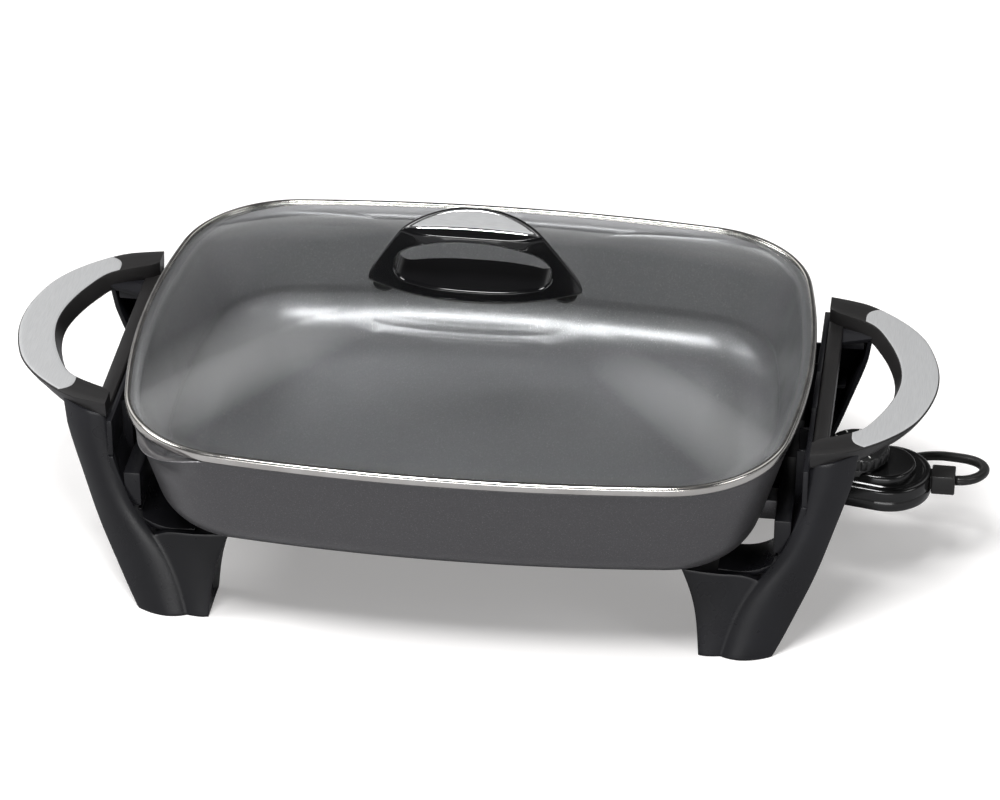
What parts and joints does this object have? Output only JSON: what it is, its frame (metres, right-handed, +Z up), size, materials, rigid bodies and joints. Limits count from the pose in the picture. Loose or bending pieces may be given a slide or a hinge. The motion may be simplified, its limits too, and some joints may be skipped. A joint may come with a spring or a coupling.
{
  "type": "electric griddle",
  "caption": "Deep rectangular electric frying griddle with domed glass lid, end handles on moulded legs, and a plug-in probe heat control with its lead.",
  "frame": {"origin": "under the middle of the pan, on the surface that the four legs stand on", "axes": "+X along the length towards the heat control, -Y towards the cook's side, +Z up"},
  "size_m": [0.5869, 0.3593, 0.2295],
  "materials": {
    "pan_coating": "cast aluminium with a fine metallic charcoal coating, nonstick inside",
    "element_sheath": "oxidised steel sheath",
    "plated_steel": "bright zinc plated",
    "ceramic": "unglazed ceramic",
    "satin_black": "satin black moulding",
    "trim_metal": "brushed",
    "clear_glass": "clear tempered",
    "band_steel": "bright stainless",
    "gasket_rubber": "matt",
    "gloss_black": "high gloss",
    "brass": "bright",
    "blade_alloy": "spring alloy",
    "contact_metal": "silver contact",
    "wire_cover": "glass braid look",
    "cord_cover": "satin black flexible cover",
    "tie_fabric": "woven strap",
    "dial_black": "satin with light marks"
  },
  "bodies": {
    "skillet": {"pan_body": "pan_coating", "heating_element": "element_sheath", "terminal_pins": "plated_steel", "terminal_insulators": "ceramic", "terminal_guard": "satin_black", "guard_screws": "plated_steel", "left_leg_base": "satin_black", "right_leg_base": "satin_black", "base_screws": "plated_steel", "left_handle": "satin_black", "right_handle": "satin_black", "left_handle_trim": "trim_metal", "right_handle_trim": "trim_metal", "handle_screws": "plated_steel"},
    "lid": {"lid_glass": "clear_glass", "lid_rim_band": "band_steel", "knob_gasket": "gasket_rubber", "lid_knob": "gloss_black", "knob_badge": "trim_metal", "knob_screws": "plated_steel", "knob_washers": "plated_steel"},
    "heat_control": {"control_case_lower": "gloss_black", "control_case_upper": "gloss_black", "control_screws": "plated_steel", "temperature_probe": "plated_steel", "contact_sleeves": "brass", "thermostat_base": "ceramic", "thermostat_blades": "blade_alloy", "thermostat_contacts": "contact_metal", "control_wiring": "wire_cover", "strain_relief": "cord_cover", "cord_lead": "cord_cover", "cord_coil": "cord_cover", "cord_tail": "cord_cover", "cord_tie": "tie_fabric", "plug_body": "cord_cover", "plug_blades": "brass"},
    "dial": {"temperature_dial": "dial_black", "dial_shaft": "plated_steel"}
  },
  "joints": [
    {"name": "lid_lift", "type": "slide", "parent": "skillet", "child": "lid", "axis": [0, 0, 1], "range_m": [0, 0.15]},
    {"name": "heat_control_pull", "type": "slide", "parent": "skillet", "child": "heat_control", "axis": [1, 0, 0], "range_m": [0, 0.12]},
    {"name": "dial_turn", "type": "hinge", "parent": "heat_control", "child": "dial", "pos_m": [0.231, 0, 0.08], "axis": [0, 0, 1], "range_deg": [0, 270]}
  ]
}
